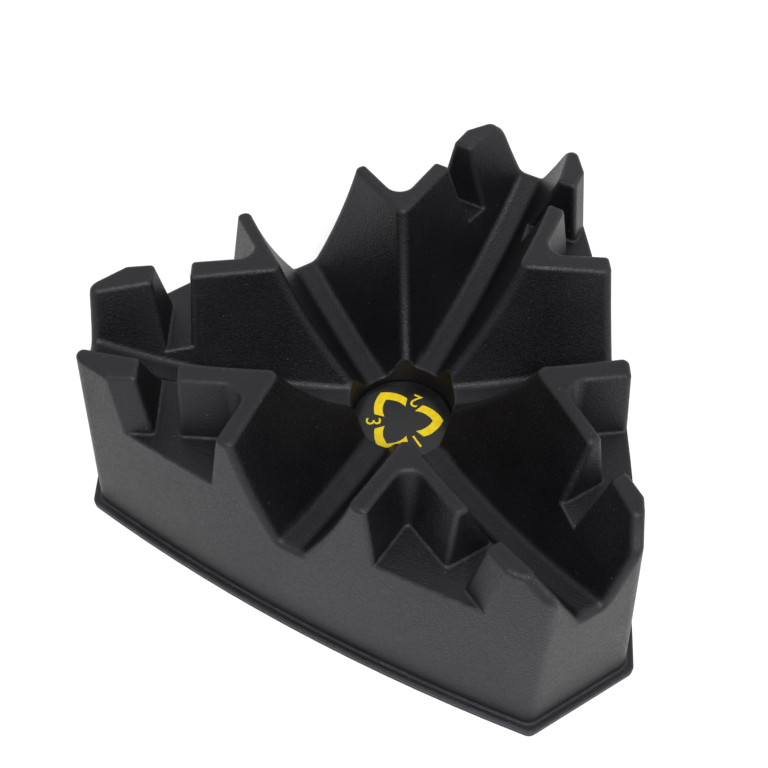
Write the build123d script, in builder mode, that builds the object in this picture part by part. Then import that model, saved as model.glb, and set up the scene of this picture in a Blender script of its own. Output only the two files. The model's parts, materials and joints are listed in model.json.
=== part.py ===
from build123d import *
from math import atan, atan2, cos, hypot, radians, sin, tan
import os

# Riser block for the front end of a bike on an indoor trainer. It is a hollow moulded shell with
# three crossing cradle grooves of different depth, closed below by a base plate that stands on six
# screwed rubber feet. A disc lies at the hub, where the grooves cross.
# Lengths are in millimetres and angles in degrees. +Z is up, and the origin is on the hub axis at
# the level of the floor.

# Heights
foot_proud = 2.0  # a foot reaches this far below the base plate
plate_thickness = 2.6
flange_thickness = 3.0
block_height = 140.0  # underside of the base plate to the flat tops

# Outline at the foot of the walls: three short straight faces and three long bowed ones
short_face_distance = 191.3  # hub axis to a short face
short_face_half = 33.6
long_face_bow = 9.4
wall_draft = 5.7
wall_thickness = 3.0
wall_corner_radius = 9.0
flange_width = 4.6
flange_corner_radius = 6.0
flange_edge_radius = 0.8

# Cradle grooves: each floor is an arc about its own axle, and each wall one shallow arc
cradle_radius = 340.0
groove_depths = (77.5, 96.5, 87.0)  # flat tops down to the floors at the hub
groove_angles = (0.0, 120.0, 240.0)  # direction of each groove's long end
groove_floor_half = 7.5
groove_floor_radius = 5.0
groove_mouth_rise = 108.0  # height above the floor at which the mouth width is given
groove_mouth_half = 44.2
groove_wall_bulge = 6.0
groove_sweep = 90.0  # arc of the cutter about its axle, more than the block needs

# Pockets between the grooves, and notches near the short faces
ledge_depth = 41.8  # flat tops down to the pocket and notch floors
leg_outer_offset = 54.1  # groove's middle plane to the pocket wall, measured at the hub
leg_splay = 4.86
pocket_draft = 9.5
pocket_corner_radius = 9.5
notch_start = 121.7  # hub axis to the notch, at the flat tops
notch_length = 21.4
notch_draft = 5.0

# Rounded edges of the shell
ridge_radius = 5.0
mouth_lip_radius = 4.0
top_edge_radius = 2.5

# Webs and bosses inside the shell
web_thickness = 2.5
hub_ring_radius = 36.0
boss_radius = 6.0
boss_distance = 160.0  # hub axis to a boss
boss_spread = 12.0  # angle from a short face's middle to a boss

# Lip of the base plate, which locates it inside the shell
lip_height = 4.0
lip_thickness = 2.0
lip_clearance = 0.3

# Feet and their screws
foot_radius = 14.0
foot_recess_depth = 1.2
foot_recess_clearance = 0.2
foot_edge_radius = 0.8
foot_web = 1.0  # rubber left under the screw head
head_radius = 4.2
head_height = 1.6
head_edge_radius = 0.6
head_clearance = 0.6
cross_length = 5.0
cross_width = 1.1
cross_depth = 1.0
shank_radius = 1.9
shank_length = 16.0
shank_clearance = 0.3
thread_clearance = 0.05
tip_length = 1.5
pilot_spare_depth = 2.0

# Disc at the hub and the adhesive pad under it
hub_recess_radius = 32.0
hub_recess_depth = 6.3  # deepest groove floor down to the recess floor
pad_radius = 28.0
pad_thickness = 0.6
disc_clearance = 0.5
disc_thickness = 1.6
disc_rim_width = 2.0
disc_rim_height = 0.3
disc_edge_radius = 0.4

base_z = foot_proud
flange_z = base_z + plate_thickness
crease_z = flange_z + flange_thickness
top_z = base_z + block_height
ledge_z = top_z - ledge_depth
recess_z = top_z - max(groove_depths) - hub_recess_depth
foot_top_z = base_z + foot_recess_depth
head_seat_z = foot_top_z - foot_web
beyond = 2 * short_face_distance  # longer than anything it has to cut through
tiny = 0.01
ridge_limit = 0.8 * notch_start  # the ridges' middles lie nearer the hub axis than this
mouth_limit = 0.9 * notch_start  # the grooves' mouths lie farther out than this
web_start = hub_ring_radius - web_thickness / 2  # a web runs from inside the ring's wall
sector_angles = [angle + step for angle in groove_angles for step in (30, 90)]
boss_angles = [angle + 180 + side * boss_spread for angle in groove_angles for side in (-1, 1)]
boss_places = [Vector(boss_distance, 0).rotate(Axis.Z, angle) for angle in boss_angles]

os.makedirs("parts", exist_ok=True)


def outline(z, grow):
    """Face of three short straight sides and three long bowed ones, pushed out by grow."""
    with BuildSketch(Plane.XY.offset(z)) as sketch:
        with BuildLine():
            for angle in groove_angles:
                start = Vector(-short_face_distance, short_face_half).rotate(Axis.Z, angle)
                end = Vector(-short_face_distance, -short_face_half).rotate(Axis.Z, angle)
                after = Vector(-short_face_distance, short_face_half).rotate(Axis.Z, angle + 120)
                Line(start, end)
                SagittaArc(end, after, -long_face_bow)
        make_face()
        if grow != 0:
            offset(amount=grow, kind=Kind.INTERSECTION)
    return sketch.sketch


def groove_cutter(depth, angle, grow):
    """The groove's profile turned about the cradle's axle, with its sides pushed out by grow."""
    slope = atan2(groove_mouth_half - groove_floor_half, groove_mouth_rise)
    wall_turn = 2 * atan(2 * groove_wall_bulge * cos(slope) / groove_mouth_rise)
    floor_half = groove_floor_half + grow * tan(radians(45) - (slope + wall_turn) / 2)
    mouth_half = groove_mouth_half + grow / cos(slope - wall_turn)
    axle = Vector(0, 0, top_z - depth + cradle_radius)
    lean = radians(groove_sweep / 2)
    low = -cradle_radius - grow
    high = groove_mouth_rise - cradle_radius
    with BuildPart() as cutter:
        with BuildSketch(Plane(origin=axle, x_dir=(0, 1, 0), z_dir=(cos(lean), 0, -sin(lean)))) as profile:
            with BuildLine():
                Line((-floor_half, low), (floor_half, low))
                SagittaArc((floor_half, low), (mouth_half, high), -groove_wall_bulge)
                Line((mouth_half, high), (-mouth_half, high))
                SagittaArc((-mouth_half, high), (-floor_half, low), -groove_wall_bulge)
            make_face()
            fillet(profile.vertices().sort_by(Axis.Y)[:2], radius=groove_floor_radius + grow)
        revolve(axis=Axis(axle, (0, 1, 0)), revolution_arc=-groove_sweep)
    return cutter.part.rotate(Axis.Z, angle)


def pocket_cutter(angle, grow):
    """Wedge between two legs, open outwards, with a round inner corner and drafted walls."""
    half_angle = 30 + leg_splay
    corner = leg_outer_offset / (sin(radians(30)) + tan(radians(leg_splay)) * cos(radians(30)))
    with BuildPart() as cutter:
        with BuildSketch(Plane.XY.offset(top_z)) as sketch:
            with BuildLine():
                left = Vector(corner, 0) + Vector(beyond, 0).rotate(Axis.Z, half_angle)
                right = Vector(corner, 0) + Vector(beyond, 0).rotate(Axis.Z, -half_angle)
                Polyline((corner, 0), left, right, close=True)
            make_face()
            fillet(sketch.vertices().sort_by(Axis.X)[0], radius=pocket_corner_radius)
            if grow > 0:
                offset(amount=grow)
        extrude(amount=-(ledge_depth + grow), taper=pocket_draft)
        extrude(cutter.faces().sort_by(Axis.Z)[-1], amount=ledge_depth)
    return cutter.part.rotate(Axis.Z, angle)


def notch_cutter(angle, side, grow):
    """Slot across one leg, near a short face, from the groove's middle plane into the pocket."""
    reach = leg_outer_offset + short_face_half / 2
    with BuildPart() as cutter:
        with BuildSketch(Plane.XY.offset(top_z)):
            with Locations((-notch_start - notch_length / 2, side * reach / 2)):
                Rectangle(notch_length + 2 * grow, reach)
        extrude(amount=-(ledge_depth + grow), taper=notch_draft)
        extrude(cutter.faces().sort_by(Axis.Z)[-1], amount=ledge_depth)
    return cutter.part.rotate(Axis.Z, angle)


def groove_cutters(grow):
    return [groove_cutter(depth, angle, grow) for depth, angle in zip(groove_depths, groove_angles)]


def leg_cutters(grow):
    pockets = [pocket_cutter(angle, grow) for angle in sector_angles]
    return pockets + [notch_cutter(angle, side, grow) for angle in groove_angles for side in (-1, 1)]


def plan_radius(point):
    return hypot(point.X, point.Y)


def points_on(edge):
    return [edge.position_at(share) for share in (0, 0.5, 1)]


def is_wall_corner(edge):
    """A wall corner runs from the foot of the outer wall to the flat top."""
    start, middle, end = points_on(edge)
    return abs(start.Z - end.Z) > block_height / 2


def is_ridge(edge):
    """A ridge is the long slanting edge of two groove walls, running out from the hub."""
    start, middle, end = points_on(edge)
    near = hub_recess_radius < plan_radius(middle) < ridge_limit
    return near and edge.length > hub_recess_radius and abs(start.Z - end.Z) > ridge_radius


def is_mouth_lip(edge):
    """A mouth lip is an edge where a groove runs out through an outer wall."""
    points = points_on(edge)
    flat = abs(points[0].Z - top_z) < tiny and abs(points[2].Z - top_z) < tiny
    far_out = min(map(plan_radius, points)) > mouth_limit
    return far_out and min(point.Z for point in points) > recess_z and not flat


def is_top_edge(edge):
    return all(abs(point.Z - top_z) < tiny for point in points_on(edge))


def is_upright(edge):
    """An upright is a corner of a leg or a post, from the flat top down to the pocket's foot."""
    start, middle, end = points_on(edge)
    low, high = sorted((start.Z, end.Z))
    tall = low > ledge_z - tiny and high > top_z - tiny and high - low > 0.8 * ledge_depth
    return tall and plan_radius(middle) > notch_start


# Flange round the foot of the shell
with BuildPart() as flange:
    with BuildSketch(Plane.XY.offset(flange_z)) as flange_sketch:
        add(outline(flange_z, flange_width))
        fillet(flange_sketch.vertices(), radius=flange_corner_radius)
    extrude(amount=flange_thickness)
    fillet(flange.faces().filter_by(Axis.Z).edges(), radius=flange_edge_radius)

# Outer form of the shell
with BuildPart() as outer:
    add(outline(crease_z, 0))
    extrude(amount=top_z - crease_z, taper=wall_draft)
    fillet(outer.edges().filter_by(is_wall_corner), radius=wall_corner_radius)
    for cutter in groove_cutters(0):
        add(cutter, mode=Mode.SUBTRACT)
    with BuildSketch(Plane.XY.offset(recess_z)):
        Circle(hub_recess_radius)
    extrude(amount=block_height, mode=Mode.SUBTRACT)
    fillet(outer.edges().filter_by(is_ridge), radius=ridge_radius)
    fillet(outer.edges().filter_by(is_mouth_lip), radius=mouth_lip_radius)
    for cutter in leg_cutters(0):
        add(cutter, mode=Mode.SUBTRACT)
    tops = outer.edges().filter_by(is_top_edge)
    uprights = outer.edges().filter_by(is_upright)
    fillet(tops + uprights, radius=top_edge_radius)
    add(flange.part)

# Space inside the shell, with its webs, hub ring and bosses left standing
with BuildPart() as void:
    add(outline(flange_z, -wall_thickness))
    extrude(amount=top_z - wall_thickness - flange_z, taper=wall_draft)
    for cutter in groove_cutters(wall_thickness) + leg_cutters(wall_thickness):
        add(cutter, mode=Mode.SUBTRACT)
    with BuildSketch(Plane.XY.offset(recess_z - wall_thickness)):
        Circle(hub_recess_radius + wall_thickness)
    extrude(amount=block_height, mode=Mode.SUBTRACT)
    with BuildSketch(Plane.XY.offset(flange_z)):
        Circle(hub_ring_radius)
        Circle(hub_ring_radius - web_thickness, mode=Mode.SUBTRACT)
        with Locations(boss_places):
            Circle(boss_radius)
    extrude(amount=block_height, mode=Mode.SUBTRACT)
    with BuildSketch(Plane.XY.offset(flange_z + lip_height + lip_clearance)):
        with PolarLocations((web_start + short_face_distance) / 2, 6):
            Rectangle(short_face_distance - web_start, web_thickness)
    extrude(amount=block_height, mode=Mode.SUBTRACT)

pilot_depth = head_seat_z + shank_length + pilot_spare_depth - flange_z
with BuildPart() as block_shell:
    add(outer.part)
    add(void.part, mode=Mode.SUBTRACT)
    with BuildSketch(Plane.XY.offset(flange_z)):
        with Locations(boss_places):
            Circle(shank_radius + thread_clearance)
    extrude(amount=pilot_depth, mode=Mode.SUBTRACT)

block_shell.part.label = "block_shell"
export_step(block_shell.part, "parts/block_shell.step")

# Base plate: rounded edges, a lip inside the shell's walls, and a recess with a hole for each foot
with BuildPart() as base_plate:
    with BuildSketch(Plane.XY.offset(base_z)) as plate_sketch:
        add(outline(base_z, flange_width))
        fillet(plate_sketch.vertices(), radius=flange_corner_radius)
    extrude(amount=plate_thickness)
    rims = base_plate.faces().filter_by(Axis.Z).edges()
    fillet(rims, radius=flange_edge_radius)
    add(outline(flange_z, -wall_thickness - lip_clearance))
    extrude(amount=lip_height, taper=wall_draft)
    add(outline(flange_z, -wall_thickness - lip_clearance - lip_thickness))
    extrude(amount=lip_height, taper=wall_draft, mode=Mode.SUBTRACT)
    with BuildSketch(Plane.XY.offset(base_z)):
        with Locations(boss_places):
            Circle(foot_radius + foot_recess_clearance)
    extrude(amount=foot_recess_depth, mode=Mode.SUBTRACT)
    with BuildSketch(Plane.XY.offset(base_z)):
        with Locations(boss_places):
            Circle(shank_radius + shank_clearance)
    extrude(amount=plate_thickness, mode=Mode.SUBTRACT)
base_plate.part.label = "base_plate"
export_step(base_plate.part, "parts/base_plate.step")

# Rubber feet and the screws that hold them and the plate to the shell's bosses
for number, place in enumerate(boss_places, start=1):
    with BuildPart() as foot:
        with BuildSketch(Plane(origin=place)):
            Circle(foot_radius)
        extrude(amount=foot_top_z)
        with BuildSketch(Plane(origin=place)):
            Circle(head_radius + head_clearance)
        extrude(amount=head_seat_z, mode=Mode.SUBTRACT)
        with BuildSketch(Plane(origin=place)):
            Circle(shank_radius + shank_clearance)
        extrude(amount=foot_top_z, mode=Mode.SUBTRACT)
        fillet(foot.faces().sort_by(Axis.Z)[0].edges().sort_by(SortBy.LENGTH)[-1], radius=foot_edge_radius)
    foot.part.label = "foot_" + str(number)
    export_step(foot.part, "parts/foot_" + str(number) + ".step")

    head_z = head_seat_z - head_height
    with BuildPart() as foot_screw:
        with BuildSketch(Plane(origin=place + Vector(0, 0, head_z))):
            Circle(head_radius)
        extrude(amount=head_height)
        fillet(foot_screw.edges().sort_by(Axis.Z)[0], radius=head_edge_radius)
        with BuildSketch(Plane(origin=place + Vector(0, 0, head_seat_z))):
            Circle(shank_radius)
        extrude(amount=shank_length)
        chamfer(foot_screw.edges().sort_by(Axis.Z)[-1], length=tip_length, length2=shank_radius / 2)
        with BuildSketch(Plane(origin=place + Vector(0, 0, head_z))):
            Rectangle(cross_length, cross_width)
            Rectangle(cross_width, cross_length)
        extrude(amount=cross_depth, mode=Mode.SUBTRACT)
    foot_screw.part.label = "foot_screw_" + str(number)
    export_step(foot_screw.part, "parts/foot_screw_" + str(number) + ".step")

# Adhesive pad in the hub recess, and the disc on it with a raised rim
with BuildPart() as medallion_pad:
    with BuildSketch(Plane.XY.offset(recess_z)):
        Circle(pad_radius)
    extrude(amount=pad_thickness)
medallion_pad.part.label = "medallion_pad"
export_step(medallion_pad.part, "parts/medallion_pad.step")

disc_z = recess_z + pad_thickness
with BuildPart() as hub_medallion:
    with BuildSketch(Plane.XY.offset(disc_z)):
        Circle(hub_recess_radius - disc_clearance)
    extrude(amount=disc_thickness)
    fillet(hub_medallion.edges().sort_by(Axis.Z)[-1], radius=disc_edge_radius)
    with BuildSketch(Plane.XY.offset(disc_z + disc_thickness - disc_rim_height)):
        Circle(hub_recess_radius - disc_clearance - disc_rim_width)
    extrude(amount=disc_rim_height, mode=Mode.SUBTRACT)
hub_medallion.part.label = "hub_medallion"
export_step(hub_medallion.part, "parts/hub_medallion.step")
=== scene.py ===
import json
import math
import bpy
import numpy as np
from mathutils import Matrix, Vector


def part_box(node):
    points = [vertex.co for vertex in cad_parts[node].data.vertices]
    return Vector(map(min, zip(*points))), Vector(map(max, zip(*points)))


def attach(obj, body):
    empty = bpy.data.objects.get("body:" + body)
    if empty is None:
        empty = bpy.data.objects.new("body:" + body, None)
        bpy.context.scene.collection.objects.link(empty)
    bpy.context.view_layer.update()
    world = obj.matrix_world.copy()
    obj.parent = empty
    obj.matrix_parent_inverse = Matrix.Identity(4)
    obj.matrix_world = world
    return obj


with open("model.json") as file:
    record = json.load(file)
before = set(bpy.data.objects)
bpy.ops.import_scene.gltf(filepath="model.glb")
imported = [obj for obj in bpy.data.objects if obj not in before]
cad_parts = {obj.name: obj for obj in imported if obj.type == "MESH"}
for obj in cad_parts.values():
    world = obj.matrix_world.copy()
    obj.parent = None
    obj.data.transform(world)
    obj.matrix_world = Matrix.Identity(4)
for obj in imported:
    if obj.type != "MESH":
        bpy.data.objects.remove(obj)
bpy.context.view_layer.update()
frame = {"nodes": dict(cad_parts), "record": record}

mm = 0.001
nodes = frame["nodes"]
print("frame loaded:", len(nodes), "nodes")


# Colours and nodes

def linear(hexColour):
    # sRGB hex to linear: c/12.92 below 0.04045, else ((c + 0.055) / 1.055) to the power 2.4
    values = [int(hexColour[i:i + 2], 16) / 255 for i in (1, 3, 5)]
    return tuple(c / 12.92 if c <= 0.04045 else ((c + 0.055) / 1.055) ** 2.4 for c in values) + (1.0,)


def addNode(tree, kind, settings=None, links=None):
    # one node: settings are its properties or its sockets by name or number, links are sockets that feed it
    node = tree.nodes.new(kind)
    for key, value in (settings or {}).items():
        if isinstance(key, str) and hasattr(node, key) and key not in node.inputs:
            setattr(node, key, value)
        else:
            node.inputs[key].default_value = value
    for key, source in (links or {}).items():
        tree.links.new(source, node.inputs[key])
    return node


def newMaterial(name):
    material = bpy.data.materials.new(name)
    material.use_nodes = True
    material.node_tree.nodes.clear()
    return material, material.node_tree


def finishMaterial(tree, surface):
    addNode(tree, "ShaderNodeOutputMaterial", links={"Surface": surface})


def noiseAt(tree, coords, size, detail=4.0, roughness=0.55, stretch=(1, 1, 1)):
    # noise whose cells are about size millimetres across, on Object coordinates
    mapped = addNode(tree, "ShaderNodeMapping", {"Scale": stretch}, {"Vector": coords})
    settings = {"Scale": 1 / (size * mm), "Detail": detail, "Roughness": roughness}
    noise = addNode(tree, "ShaderNodeTexNoise", settings, {"Vector": mapped.outputs["Vector"]})
    return noise.outputs["Fac"]


def spread(tree, source, low, high, toLow, toHigh):
    # straight line from low..high to toLow..toHigh, held at its ends
    settings = {"From Min": low, "From Max": high, "To Min": toLow, "To Max": toHigh}
    return addNode(tree, "ShaderNodeMapRange", settings, {"Value": source}).outputs["Result"]


def calc(tree, operation, a, b=None):
    node = addNode(tree, "ShaderNodeMath", {"operation": operation})
    for place, value in enumerate((a, b)):
        if value is None:
            continue
        if isinstance(value, (int, float)):
            node.inputs[place].default_value = value
        else:
            tree.links.new(value, node.inputs[place])
    return node.outputs[0]


def blendColours(tree, factor, a, b):
    node = addNode(tree, "ShaderNodeMix", {"data_type": "RGBA"})
    for place, value in ((6, a), (7, b)):
        if isinstance(value, tuple):
            node.inputs[place].default_value = value
        else:
            tree.links.new(value, node.inputs[place])
    tree.links.new(factor, node.inputs[0])
    return node.outputs[2]


# Black moulded plastic of the shell: high-density polyethylene, its skin textured by the mould.
# It gives a dark charcoal with a soft wide sheen, a fine grain that breaks the sheen up,
# strips polished by use along the groove floors, and a pale band on edges that is partly scuffing and
# partly painted highlight.
shellLook = {
    "deep": "#0d0c0e",
    "light": "#131214",
    "sheen": "#f3effa",
    "scuffAndHighlight": "#5c5a5e",
    "rubbed": "#181719",
    "dust": "#8f8b86",
    "roughness": 0.42,
    "ior": 1.53,
    "shine": 0.31,         # specular level: the mould texture swallows part of the sheen
    "grainSize": 1.4,      # mm, about twice the real mould texture, or it would not show
    "grainHeight": 0.4,    # mm
    "grainStrength": 0.8,
    "cloudSize": 60.0,     # mm, slow change of tone
    "edgeBandSize": 5.0,       # mm, the unevenness of the pale edge band, partly wear and partly painted highlight
    "dustSize": 1.6,       # mm from speck to speck, each about half a millimetre across
    "rubHalfWidth": 8.0,   # mm, half width of the polished strip
    "rubPatchSize": 9.0,   # mm, its unevenness
    "rubPolish": 0.12,     # roughness lost where it is polished
    "edgeRadius": 2.6,     # mm, how far light bends and the pale band of scuffing and painted highlight reaches round an edge
    "grooveAngles": (0, 120, 240),
}


def mouldedPlastic(name, look, rubbed):
    material, tree = newMaterial(name)
    coords = addNode(tree, "ShaderNodeTexCoord").outputs["Object"]
    cloud = noiseAt(tree, coords, look["cloudSize"], 3.0)
    tone = spread(tree, cloud, 0.35, 0.65, 0, 1)
    colour = blendColours(tree, tone, linear(look["deep"]), linear(look["light"]))
    rough = spread(tree, cloud, 0.3, 0.7, look["roughness"] - 0.04, look["roughness"] + 0.05)
    if rubbed:
        # distance from a groove's middle plane is |y cos a - x sin a|
        place = addNode(tree, "ShaderNodeSeparateXYZ", links={"Vector": coords})
        strip = None
        for angle in look["grooveAngles"]:
            turn = math.radians(angle)
            across = calc(tree, "SUBTRACT", calc(tree, "MULTIPLY", place.outputs["Y"], math.cos(turn)),
                          calc(tree, "MULTIPLY", place.outputs["X"], math.sin(turn)))
            reach = look["rubHalfWidth"] * mm
            near = spread(tree, calc(tree, "ABSOLUTE", across), 0.4 * reach, reach, 1, 0)
            strip = near if strip is None else calc(tree, "MAXIMUM", strip, near)
        patches = spread(tree, noiseAt(tree, coords, look["rubPatchSize"], 6.0, 0.7), 0.38, 0.62, 0.15, 0.9)
        strip = calc(tree, "MULTIPLY", strip, patches)
        # only floors are rubbed: the normal must point upward
        facing = addNode(tree, "ShaderNodeNewGeometry").outputs["Normal"]
        upward = addNode(tree, "ShaderNodeSeparateXYZ", links={"Vector": facing}).outputs["Z"]
        strip = calc(tree, "MULTIPLY", strip, spread(tree, upward, 0.5, 0.7, 0, 1))
        colour = blendColours(tree, strip, colour, linear(look["rubbed"]))
        rough = calc(tree, "SUBTRACT", rough, calc(tree, "MULTIPLY", strip, look["rubPolish"]))
    # an edge is where the normal, averaged over a small radius, leaves the true normal
    bevel = addNode(tree, "ShaderNodeBevel", {"samples": 4, "Radius": look["edgeRadius"] * mm})
    soft = bevel.outputs["Normal"]
    true = addNode(tree, "ShaderNodeNewGeometry").outputs["Normal"]
    alike = addNode(tree, "ShaderNodeVectorMath", {"operation": "DOT_PRODUCT"}, {0: soft, 1: true})
    edge = spread(tree, alike.outputs["Value"], 0.90, 0.995, 1, 0)
    # painted highlight: a pale band on every edge, both convex and concave, partly scuffing and partly
    # painted highlight for the light lines along rounded edges
    wearAndHighlight = spread(tree, noiseAt(tree, coords, look["edgeBandSize"], 8.0, 0.75), 0.46, 0.64, 0.22, 0.6)
    colour = blendColours(tree, calc(tree, "MULTIPLY", edge, wearAndHighlight), colour, linear(look["scuffAndHighlight"]))
    specks = spread(tree, noiseAt(tree, coords, look["dustSize"], 2.0), 0.70, 0.78, 0, 0.25)
    colour = blendColours(tree, specks, colour, linear(look["dust"]))
    grain = noiseAt(tree, coords, look["grainSize"], 3.0, 0.6)
    rough = calc(tree, "ADD", rough, spread(tree, grain, 0.35, 0.65, -0.08, 0.08))
    bump = addNode(tree, "ShaderNodeBump",
                   {"Strength": look["grainStrength"], "Distance": look["grainHeight"] * mm},
                   {"Height": grain, "Normal": soft})
    shader = addNode(tree, "ShaderNodeBsdfPrincipled",
                     {"IOR": look["ior"], "Specular IOR Level": look["shine"],
                      "Specular Tint": linear(look["sheen"])},
                     {"Base Color": colour, "Roughness": rough, "Normal": bump.outputs["Normal"]})
    finishMaterial(tree, shader.outputs["BSDF"])
    return material


# The base plate is the same plastic from another tool, a shade greyer and without polished strips
baseLook = dict(shellLook, deep="#131214", light="#1b1a1c", roughness=0.48)


# Gloss-black acrylic-faced disc: darker than the shell, with a clear sheen and hairline scratches
discLook = {
    "clean": "#0e0d0f",
    "smeared": "#171618",
    "roughness": 0.28,
    "ior": 1.49,
    "smearSize": 14.0,       # mm
    "scratchSize": 0.5,      # mm across, and drawn out 1 / 0.06 times along Y
    "scratchStretch": (1, 0.06, 1),
    "scratchHeight": 0.008,  # mm
}


def glossDisc(name, look):
    material, tree = newMaterial(name)
    coords = addNode(tree, "ShaderNodeTexCoord").outputs["Object"]
    smear = noiseAt(tree, coords, look["smearSize"], 4.0)
    scratch = noiseAt(tree, coords, look["scratchSize"], 2.0, 0.5, look["scratchStretch"])
    smeared = spread(tree, smear, 0.3, 0.7, 0, 1)
    colour = blendColours(tree, smeared, linear(look["clean"]), linear(look["smeared"]))
    rough = spread(tree, smear, 0.3, 0.7, look["roughness"] - 0.06, look["roughness"] + 0.1)
    bump = addNode(tree, "ShaderNodeBump", {"Strength": 0.4, "Distance": look["scratchHeight"] * mm},
                   {"Height": scratch})
    shader = addNode(tree, "ShaderNodeBsdfPrincipled", {"IOR": look["ior"]},
                     {"Base Color": colour, "Roughness": rough, "Normal": bump.outputs["Normal"]})
    finishMaterial(tree, shader.outputs["BSDF"])
    return material


# Yellow pad-print ink: an even warm yellow, slightly raised and slightly patchy where it is thin
inkLook = {
    "full": "#fbdf0e",
    "thin": "#eac60b",
    "roughness": 0.42,
    "ior": 1.5,
    "patchSize": 3.0,     # mm
    "patchHeight": 0.01,  # mm
}


def printedInk(name, look):
    material, tree = newMaterial(name)
    coords = addNode(tree, "ShaderNodeTexCoord").outputs["Object"]
    patch = noiseAt(tree, coords, look["patchSize"], 6.0, 0.65)
    cover = spread(tree, patch, 0.3, 0.6, 0, 1)
    colour = blendColours(tree, cover, linear(look["thin"]), linear(look["full"]))
    bump = addNode(tree, "ShaderNodeBump", {"Strength": 0.3, "Distance": look["patchHeight"] * mm},
                   {"Height": patch})
    shader = addNode(tree, "ShaderNodeBsdfPrincipled", {"IOR": look["ior"], "Roughness": look["roughness"]},
                     {"Base Color": colour, "Normal": bump.outputs["Normal"]})
    finishMaterial(tree, shader.outputs["BSDF"])
    return material


# Nitrile rubber of the feet: matt dark grey, dusty and a little mottled
rubberLook = {
    "deep": "#2b2a2a",
    "dusty": "#4c4a48",
    "roughness": 0.82,
    "ior": 1.52,
    "dustSize": 6.0,      # mm
    "grainSize": 0.7,     # mm
    "grainHeight": 0.05,  # mm
}


def nitrileRubber(name, look):
    material, tree = newMaterial(name)
    coords = addNode(tree, "ShaderNodeTexCoord").outputs["Object"]
    dust = spread(tree, noiseAt(tree, coords, look["dustSize"], 6.0, 0.7), 0.42, 0.68, 0, 1)
    grain = noiseAt(tree, coords, look["grainSize"], 3.0)
    colour = blendColours(tree, dust, linear(look["deep"]), linear(look["dusty"]))
    bump = addNode(tree, "ShaderNodeBump", {"Strength": 0.6, "Distance": look["grainHeight"] * mm},
                   {"Height": grain})
    shader = addNode(tree, "ShaderNodeBsdfPrincipled", {"IOR": look["ior"], "Roughness": look["roughness"]},
                     {"Base Color": colour, "Normal": bump.outputs["Normal"]})
    finishMaterial(tree, shader.outputs["BSDF"])
    return material


# Bright zinc plate on steel screws: pale, slightly blue metal with brushed turning marks
zincLook = {
    "bright": "#b9bcc0",
    "dull": "#85878a",
    "roughness": 0.34,
    "stainSize": 2.0,     # mm
    "markSize": 0.25,     # mm across, and eight times closer along Z
    "markStretch": (1, 1, 8),
    "markHeight": 0.01,   # mm
}


def zincPlate(name, look):
    material, tree = newMaterial(name)
    coords = addNode(tree, "ShaderNodeTexCoord").outputs["Object"]
    stain = spread(tree, noiseAt(tree, coords, look["stainSize"], 6.0, 0.7), 0.35, 0.65, 0, 1)
    marks = noiseAt(tree, coords, look["markSize"], 2.0, 0.5, look["markStretch"])
    colour = blendColours(tree, stain, linear(look["dull"]), linear(look["bright"]))
    rough = spread(tree, stain, 0, 1, look["roughness"] + 0.14, look["roughness"])
    bump = addNode(tree, "ShaderNodeBump", {"Strength": 0.4, "Distance": look["markHeight"] * mm},
                   {"Height": marks})
    shader = addNode(tree, "ShaderNodeBsdfPrincipled", {"Metallic": 1.0},
                     {"Base Color": colour, "Roughness": rough, "Normal": bump.outputs["Normal"]})
    finishMaterial(tree, shader.outputs["BSDF"])
    return material


# Closed-cell foam of the adhesive pad: pale, matt and pitted, with painted shade in its pits
padLook = {
    "light": "#c9c7c0",
    "dark": "#a5a39b",
    "roughness": 0.9,
    "ior": 1.45,
    "cellSize": 0.8,   # mm
    "cellDepth": 0.1,  # mm
}


def adhesiveFoam(name, look):
    material, tree = newMaterial(name)
    coords = addNode(tree, "ShaderNodeTexCoord").outputs["Object"]
    cells = noiseAt(tree, coords, look["cellSize"], 2.0)
    # painted shade: the colour is darker where the bump is low, in the pits, and lighter on the raised
    # cells
    raised = spread(tree, cells, 0.35, 0.65, 0, 1)
    colour = blendColours(tree, raised, linear(look["dark"]), linear(look["light"]))
    bump = addNode(tree, "ShaderNodeBump", {"Strength": 0.8, "Distance": look["cellDepth"] * mm},
                   {"Height": cells})
    shader = addNode(tree, "ShaderNodeBsdfPrincipled", {"IOR": look["ior"], "Roughness": look["roughness"]},
                     {"Base Color": colour, "Normal": bump.outputs["Normal"]})
    finishMaterial(tree, shader.outputs["BSDF"])
    return material


looks = {
    "shell_plastic": mouldedPlastic("black moulded polyethylene", shellLook, True),
    "base_plastic": mouldedPlastic("grey-black moulded polyethylene", baseLook, False),
    "disc_plastic": glossDisc("gloss black acrylic", discLook),
    "foot_rubber": nitrileRubber("nitrile rubber", rubberLook),
    "screw_steel": zincPlate("zinc-plated steel", zincLook),
    "pad_foam": adhesiveFoam("closed-cell foam", padLook),
}
slotOf = {entry["node"]: entry["material_slot"] for entry in frame["record"]["subparts"]}
for nodeName, piece in nodes.items():
    piece.data.materials.clear()
    piece.data.materials.append(looks[slotOf[nodeName]])
print("materials assigned:", len(looks))


# Print on the disc: a pointer towards each groove's long end, and its plain number on the opposite side

printPlan = {
    "number": {0: "3", 120: "1", 240: "2"},  # deepest groove is 1
    "pointerTip": 26.0,      # mm from the hub
    "pointerWidth": 6.5,     # mm, along the radius
    "pointerSweep": 42.0,    # degrees each side of the groove
    "pointerDrop": 8.0,      # mm, how far its ends lie behind its tip
    "numberRadius": 18.5,    # mm
    "numberHeight": 9.5,     # mm
    "digitShare": 0.7,       # a digit's height over its font size
    "thickness": 0.12,       # mm of ink
    "rimHeight": 0.3,        # mm, the disc's rim over its print
}
inkMaterial = printedInk("yellow pad-print ink", inkLook)
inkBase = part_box("hub_medallion")[1].z - printPlan["rimHeight"] * mm


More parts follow.
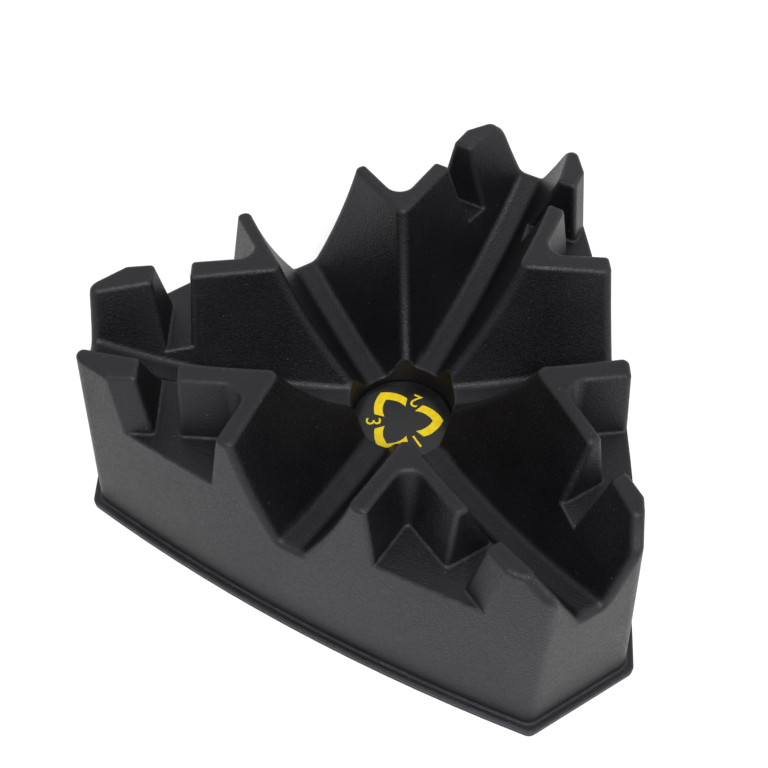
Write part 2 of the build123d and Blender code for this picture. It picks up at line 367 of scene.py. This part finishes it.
def pointerMesh(angle, plan):
    # Grid over u (along the band, -1..1) and v (round its section: up, across, down).
    # Radius is tip - drop |u|, less the width times v's share across; angle is a + sweep u.
    u = np.linspace(-1, 1, 41)[:, None]
    across = np.array([0, 0, 0.04, 0.5, 0.96, 1, 1])[None, :]
    up = np.array([0, 0.7, 1, 1, 1, 0.7, 0])[None, :]
    radius = (plan["pointerTip"] - plan["pointerDrop"] * np.abs(u) - plan["pointerWidth"] * across) * mm
    turn = np.radians(angle + plan["pointerSweep"] * u) + 0 * across
    height = inkBase + plan["thickness"] * mm * up + 0 * radius
    points = np.stack([radius * np.cos(turn), radius * np.sin(turn), height], axis=-1)
    rows, columns = points.shape[:2]
    index = np.arange(rows * columns).reshape(rows, columns)
    quads = np.stack([index[:-1, :-1], index[1:, :-1], index[1:, 1:], index[:-1, 1:]], axis=-1)
    bottom = np.stack([index[:-1, -1], index[1:, -1], index[1:, 0], index[:-1, 0]], axis=-1)
    ends = [index[0].tolist(), index[-1, ::-1].tolist()]
    faces = quads.reshape(-1, 4).tolist() + bottom.tolist() + ends
    mesh = bpy.data.meshes.new("pointer")
    mesh.from_pydata(points.reshape(-1, 3).tolist(), [], faces)
    return mesh


def numberMesh(text, angle, plan):
    # the form of a plain number, its top towards the groove's long end, on the other side of the hub
    curve = bpy.data.curves.new("number", "FONT")
    curve.body = text
    curve.size = plan["numberHeight"] * mm / plan["digitShare"]
    curve.extrude = plan["thickness"] * mm / 2
    curve.align_x = "CENTER"
    curve.align_y = "CENTER"
    holder = bpy.data.objects.new("number", curve)
    bpy.context.scene.collection.objects.link(holder)
    mesh = bpy.data.meshes.new_from_object(holder.evaluated_get(bpy.context.evaluated_depsgraph_get()))
    bpy.data.objects.remove(holder)
    turn = math.radians(angle)
    radius = -plan["numberRadius"] * mm
    height = inkBase + plan["thickness"] * mm / 2
    place = Vector((radius * math.cos(turn), radius * math.sin(turn), height))
    mesh.transform(Matrix.Translation(place) @ Matrix.Rotation(turn - math.pi / 2, 4, "Z"))
    return mesh


def addPiece(name, mesh, material, body="root"):
    mesh.materials.clear()
    mesh.materials.append(material)
    piece = bpy.data.objects.new(name, mesh)
    bpy.context.scene.collection.objects.link(piece)
    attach(piece, body)
    return piece


for angle, number in printPlan["number"].items():
    addPiece("pointer_" + number, pointerMesh(angle, printPlan), inkMaterial)
    addPiece("number_" + number, numberMesh(number, angle, printPlan), inkMaterial)
print("disc print made")


# Floor, light and camera

stagePlan = {
    "floorColour": "#d6d6d6",
    "floorHalf": 6.0,       # m
    "seenLift": 0.42,       # extra white on the floor for what the camera and gloss see
    "skyLow": 0.95,         # world strength at the horizon
    "skyHigh": 0.38,        # and straight above
}


def seenRays(tree):
    # 1 for rays from the camera or by way of gloss or glass, which show the white background, else 0
    path = addNode(tree, "ShaderNodeLightPath").outputs
    mirrored = calc(tree, "MAXIMUM", path["Is Glossy Ray"], path["Is Transmission Ray"])
    return calc(tree, "MAXIMUM", path["Is Camera Ray"], mirrored)


def makeFloor(plan):
    half = plan["floorHalf"]
    mesh = bpy.data.meshes.new("floor")
    corners = [(-half, -half, 0), (half, -half, 0), (half, half, 0), (-half, half, 0)]
    mesh.from_pydata(corners, [], [(0, 1, 2, 3)])
    material, tree = newMaterial("white paper sweep")
    lift = calc(tree, "MULTIPLY", seenRays(tree), plan["seenLift"])
    paper = addNode(tree, "ShaderNodeBsdfDiffuse", {"Color": linear(plan["floorColour"])})
    glow = addNode(tree, "ShaderNodeEmission", links={"Strength": lift})
    both = addNode(tree, "ShaderNodeAddShader", links={0: paper.outputs[0], 1: glow.outputs[0]})
    finishMaterial(tree, both.outputs[0])
    mesh.materials.append(material)
    floor = bpy.data.objects.new("floor", mesh)
    bpy.context.scene.collection.objects.link(floor)


def makeWorld(plan):
    world = bpy.data.worlds.new("studio")
    bpy.context.scene.world = world
    world.use_nodes = True
    tree = world.node_tree
    tree.nodes.clear()
    seen = seenRays(tree)
    direction = addNode(tree, "ShaderNodeTexCoord").outputs["Generated"]
    height = addNode(tree, "ShaderNodeSeparateXYZ", links={"Vector": direction}).outputs["Z"]
    light = spread(tree, height, 0.0, 0.9, plan["skyLow"], plan["skyHigh"])
    # light + seen (1 - light): 1 where it is seen
    strength = calc(tree, "ADD", light, calc(tree, "MULTIPLY", seen, calc(tree, "SUBTRACT", 1.0, light)))
    sky = addNode(tree, "ShaderNodeBackground", {"Color": (1, 1, 1, 1)}, {"Strength": strength})
    addNode(tree, "ShaderNodeOutputWorld", links={"Surface": sky.outputs[0]})


# Square softboxes: place, the point each faces and its side in metres, and its power in watts
softboxPlan = {
    "front softbox": {"place": (0.1, -1.0, 1.55), "target": (0, 0, 0.05), "side": 0.5, "power": 25},
    "right softbox": {"place": (1.5, -0.5, 0.7), "target": (0, 0, 0.08), "side": 0.8, "power": 2},
}


def makeSoftbox(name, plan):
    lamp = bpy.data.lights.new(name, "AREA")
    lamp.size = plan["side"]
    lamp.energy = plan["power"]
    holder = bpy.data.objects.new(name, lamp)
    holder.location = plan["place"]
    facing = Vector(plan["target"]) - Vector(plan["place"])
    holder.rotation_euler = facing.to_track_quat("-Z", "Y").to_euler()
    bpy.context.scene.collection.objects.link(holder)


makeFloor(stagePlan)
makeWorld(stagePlan)
for boxName, boxPlan in softboxPlan.items():
    makeSoftbox(boxName, boxPlan)

# The camera stands in front of the block and looks down at it, worked out for a 768 by 768 frame
cameraPlan = {
    "place": (-14.3, -388.3, 591.0),  # mm
    "azimuth": -0.462,                # degrees round from straight in front
    "elevation": 52.774,              # degrees above the floor
    "roll": -0.277,                   # degrees
    "lens": 50.13,                    # mm
    "sensor": 36,                     # mm
    "clip": (0.01, 50),               # m
}


def makeCamera(plan):
    azimuth, elevation, roll = (math.radians(plan[key]) for key in ("azimuth", "elevation", "roll"))
    back = Vector((math.sin(azimuth) * math.cos(elevation), -math.cos(azimuth) * math.cos(elevation),
                   math.sin(elevation)))
    right = (-back).cross(Vector((0, 0, 1))).normalized()
    up = right.cross(-back)
    rolledRight = right * math.cos(roll) + up * math.sin(roll)
    rolledUp = up * math.cos(roll) - right * math.sin(roll)
    data = bpy.data.cameras.new("camera")
    data.sensor_width = plan["sensor"]
    data.lens = plan["lens"]
    data.clip_start, data.clip_end = plan["clip"]
    camera = bpy.data.objects.new("camera", data)
    turn = Matrix((rolledRight, rolledUp, back)).transposed().to_4x4()
    camera.matrix_world = Matrix.Translation(Vector(plan["place"]) * mm) @ turn
    bpy.context.scene.collection.objects.link(camera)
    bpy.context.scene.camera = camera


makeCamera(cameraPlan)
bpy.context.scene.view_settings.view_transform = "Standard"
print("stage ready")
